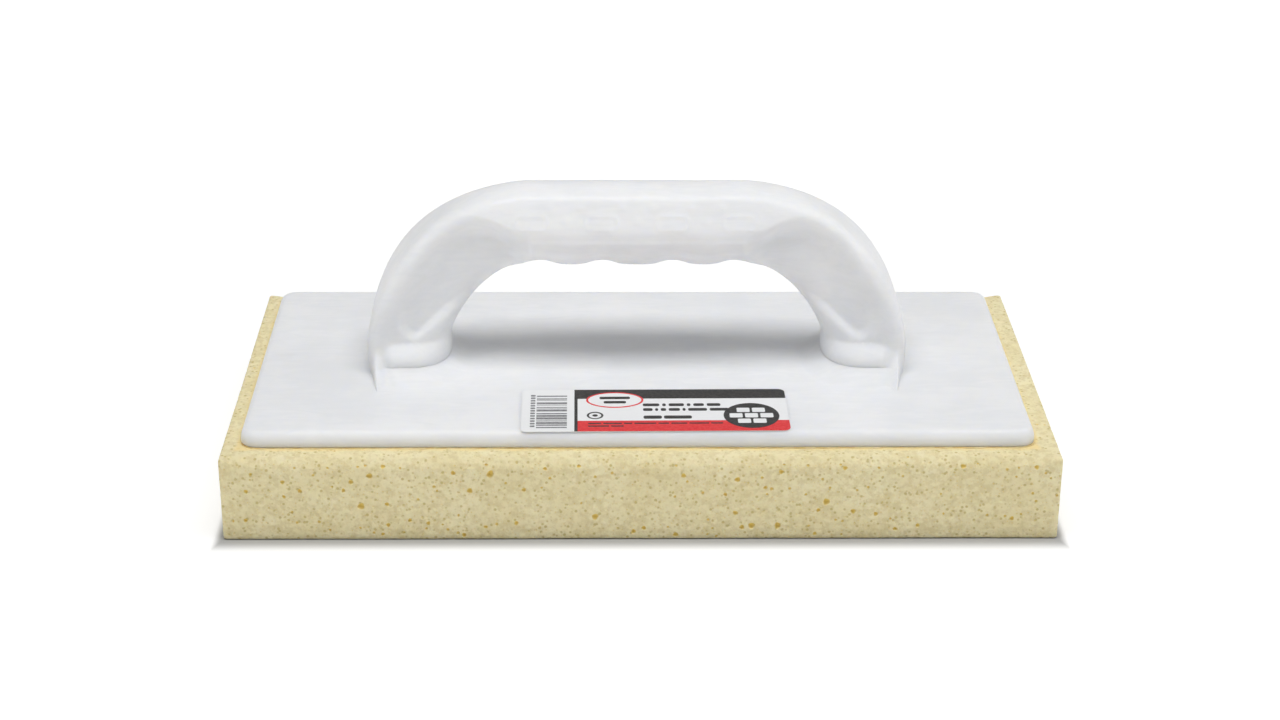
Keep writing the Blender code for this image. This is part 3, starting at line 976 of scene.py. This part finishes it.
def make_label(paper, dark_ink, red_ink, grey_ink):
    """The sticker and its print. Plain bars, a ring and a tile sign stand in for words and marks."""
    low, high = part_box("label")
    centre = ((low.x + high.x) / 2, (low.y + high.y) / 2)
    place = Matrix.Translation((centre[0], centre[1], PLATE_TOP)) @ Matrix.Rotation(LABEL_TURN, 4, "Z")
    sheet = Print(0.04, 0.16)
    width, depth = LABEL_SIZE[0] / MM, LABEL_SIZE[1] / MM
    sheet.solid(rounded_shape((0, 0), (width, depth), (2.2, 1.6, 1.6, 2.2)))

    left, right, top, bottom = -27.2, width / 2, depth / 2, -depth / 2
    dark = Print(0.15, 0.19)
    dark.solid(rounded_shape(((left + right) / 2, top - 3.6), (right - left, 7.2), (2.2, 0, 0, 0)))
    dark.bar(left, left + 1.1, bottom, top - 7.1)
    dark.words(-3.9, 4.0, (5.6, 1.2, 5.2, 1.2, 3.6, 4.6), 2.1, 1.0)
    dark.words(-3.9, 0.3, (3.2, 1.0, 1.8, 3.8, 1.0, 6.4, 6.6), 2.1, 0.9)
    dark.words(-3.9, -5.6, (6.2, 9.4), 2.4, 0.7)
    ring_centre = (-20.2, -4.1)
    dark.frame_of(round_shape(ring_centre, (2.8, 2.8)), round_shape(ring_centre, (2.1, 2.1)))
    dark.solid(round_shape(ring_centre, (0.9, 0.9), 24))

    red = Print(0.15, 0.19)
    red_left = left + 1.1
    red_centre = ((red_left + right) / 2, bottom + 4.0)
    red.solid(rounded_shape(red_centre, (right - red_left, 8.0), (0, 0, 0, 2.4)))

    pill = Print(0.16, 0.21)
    pill_centre = (-13.4, 7.9)
    pill.solid(round_shape(pill_centre, (9.7, 6.0), 64))
    pill_edge = Print(0.16, 0.23)
    pill_edge.frame_of(round_shape(pill_centre, (9.8, 6.1), 64), round_shape(pill_centre, (9.1, 5.4), 64))
    pill_words = Print(0.17, 0.24)
    pill_words.words(-18.6, 9.5, (10.4,), 1.9, 0.8)
    pill_words.words(-17.2, 6.1, (7.6,), 1.9, 0.8)

    badge_centre = (32.6, -4.6)
    badge = Print(0.17, 0.22)
    badge.solid(round_shape(badge_centre, (9.4, 9.6), 72))
    tiles = Print(0.18, 0.25)
    for row, (count, shift) in enumerate(((2, -2.6), (3, -5.2), (2, -2.6))):
        for k in range(count):
            middle = (badge_centre[0] + shift + 5.2 * k, badge_centre[1] + 4.2 - 4.2 * row)
            tiles.solid(rounded_shape(middle, (4.4, 3.3), (0.5,) * 4))

    small = Print(0.17, 0.20)
    small.words(-22.6, bottom + 5.9, (4.4, 6.2, 2.8, 7.4, 3.6, 5.4, 6.6, 4.0), 0.9, 0.7)
    small.words(-22.6, bottom + 3.9, (7.0, 4.2), 0.9, 0.7)

    grey = Print(0.15, 0.19)
    bar_low, bar_high = 11.6, -13.4
    draw = random.Random(11)
    y = bar_low
    while y > bar_high:
        thick = draw.choice((0.35, 0.35, 0.6, 0.9, 1.4))
        grey.bar(-40.0, -29.7, y - thick, y)
        y -= thick + draw.choice((0.45, 0.6, 0.9, 1.3))
    for step in range(13):
        y = bar_low + 0.6 - step * 1.98
        grey.bar(-42.1, -40.5, y - 1.2, y, 0.3)

    pieces = [
        sheet.finish("label_sheet", paper, place),
        dark.finish("label_dark_print", dark_ink, place),
        red.finish("label_red_band", red_ink, place),
        pill.finish("label_badge_ground", paper, place),
        pill_edge.finish("label_badge_edge", red_ink, place),
        pill_words.finish("label_badge_bars", dark_ink, place),
        badge.finish("label_round_sign", dark_ink, place),
        tiles.finish("label_tile_sign", paper, place),
        small.finish("label_fine_print", dark_ink, place),
        grey.finish("label_bar_group", grey_ink, place),
    ]
    for piece in pieces:
        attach(piece, "root")
    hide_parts("label")


# ---------------------------------------------------------------- studio


def make_floor():
    """A large pale floor that glows, but for a narrow band round the sponge's foot: a painted contact
    shadow.
    """
    made, tree, shader, place = new_material("studio_floor")
    set_inputs(shader, Base_Color=(0.46, 0.46, 0.46, 1.0), Roughness=0.9, Specular_IOR_Level=0.1)
    set_inputs(shader, Emission_Color=(1.0, 1.0, 1.0, 1.0))
    axes = add_node(tree, "ShaderNodeSeparateXYZ", {"Vector": place}).outputs
    past_end = calculate(tree, "SUBTRACT", calculate(tree, "ABSOLUTE", axes["X"]), PAD_HALF.x)
    past_side = calculate(tree, "SUBTRACT", calculate(tree, "ABSOLUTE", axes["Y"]), PAD_HALF.y)
    from_pad = calculate(tree, "MAXIMUM", calculate(tree, "MULTIPLY", past_end, 2.2), past_side)
    # Painted contact shadow: no glow at the sponge's foot, rising to the floor's glow over the near span
    near = remap(tree, from_pad, *PAINTED_SHADOW_SPAN, 0.0, GLOW_PAST_PAINTED_SHADOW)
    far = remap(tree, from_pad, *GLOW_FAR, 0.0, GLOW_FAR_POWER)
    tree.links.new(calculate(tree, "ADD", near, far), shader.inputs["Emission Strength"])
    add_bump(tree, shader, noise_value(tree, place, 4.0), 0.2 * MM, 0.2)
    mesh = bpy.data.meshes.new("floor")
    corners = [(x * FLOOR_REACH, y * FLOOR_REACH, 0) for x, y in ((-1, -1), (1, -1), (1, 1), (-1, 1))]
    mesh.from_pydata(corners, [], [(0, 1, 2, 3)])
    mesh.materials.append(made)
    floor = bpy.data.objects.new("floor", mesh)
    bpy.context.scene.collection.objects.link(floor)


def add_area_light(name, place, size, power):
    """A rectangular softbox at place, facing the float."""
    data = bpy.data.lights.new(name, "AREA")
    data.shape = "RECTANGLE"
    data.size, data.size_y = size
    data.energy = power
    light = bpy.data.objects.new(name, data)
    light.location = place
    light.rotation_euler = (Vector((0.0, 0.0, 0.05)) - Vector(place)).to_track_quat("-Z", "Y").to_euler()
    bpy.context.scene.collection.objects.link(light)


def make_lights():
    """A large softbox overhead in a pale room, and weaker ones at the front, the back and the right."""
    world = bpy.data.worlds.new("studio")
    world.use_nodes = True
    background = world.node_tree.nodes["Background"]
    background.inputs["Color"].default_value = (1.0, 1.0, 1.0, 1.0)
    background.inputs["Strength"].default_value = ROOM_LIGHT
    bpy.context.scene.world = world
    for name, place, size, power in SOFTBOXES:
        add_area_light(name, place, size, power)


def make_camera():
    """The camera, from its place and its three turns."""
    cos_pitch, sin_pitch = math.cos(CAMERA_PITCH), math.sin(CAMERA_PITCH)
    forward = Vector((math.sin(CAMERA_YAW) * cos_pitch, math.cos(CAMERA_YAW) * cos_pitch, -sin_pitch))
    level = forward.cross(Vector((0, 0, 1))).normalized()
    upright = level.cross(forward)
    cos_roll, sin_roll = math.cos(CAMERA_ROLL), math.sin(CAMERA_ROLL)
    right = cos_roll * level + sin_roll * upright
    up = -sin_roll * level + cos_roll * upright
    data = bpy.data.cameras.new("camera")
    data.sensor_width = 36.0
    data.lens = CAMERA_LENS
    data.clip_start = 0.05
    camera = bpy.data.objects.new("camera", data)
    axes = Matrix((right, up, -forward)).transposed().to_4x4()
    camera.matrix_world = Matrix.Translation(CAMERA_PLACE) @ axes
    bpy.context.scene.collection.objects.link(camera)
    bpy.context.scene.camera = camera
    bpy.context.scene.view_settings.view_transform = "Standard"


def main():
    make_camera()
    make_floor()
    make_lights()

    body = make_moulded_body(make_plastic())
    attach(body, "root")
    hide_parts("float_body")

    sponge = make_sponge(make_sponge_finish())
    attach(sponge, "root")
    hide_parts("sponge_pad")

    glue = make_glue(make_glue_finish())
    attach(glue, "root")
    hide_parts("adhesive_layer")

    dark_ink = make_ink("dark_ink", (0.050, 0.048, 0.046), (0.028, 0.027, 0.026))
    red_ink = make_ink("red_ink", (0.82, 0.055, 0.055), (0.74, 0.028, 0.035))
    grey_ink = make_ink("grey_ink", (0.30, 0.30, 0.31), (0.18, 0.18, 0.19))
    make_label(make_paper(), dark_ink, red_ink, grey_ink)


main()
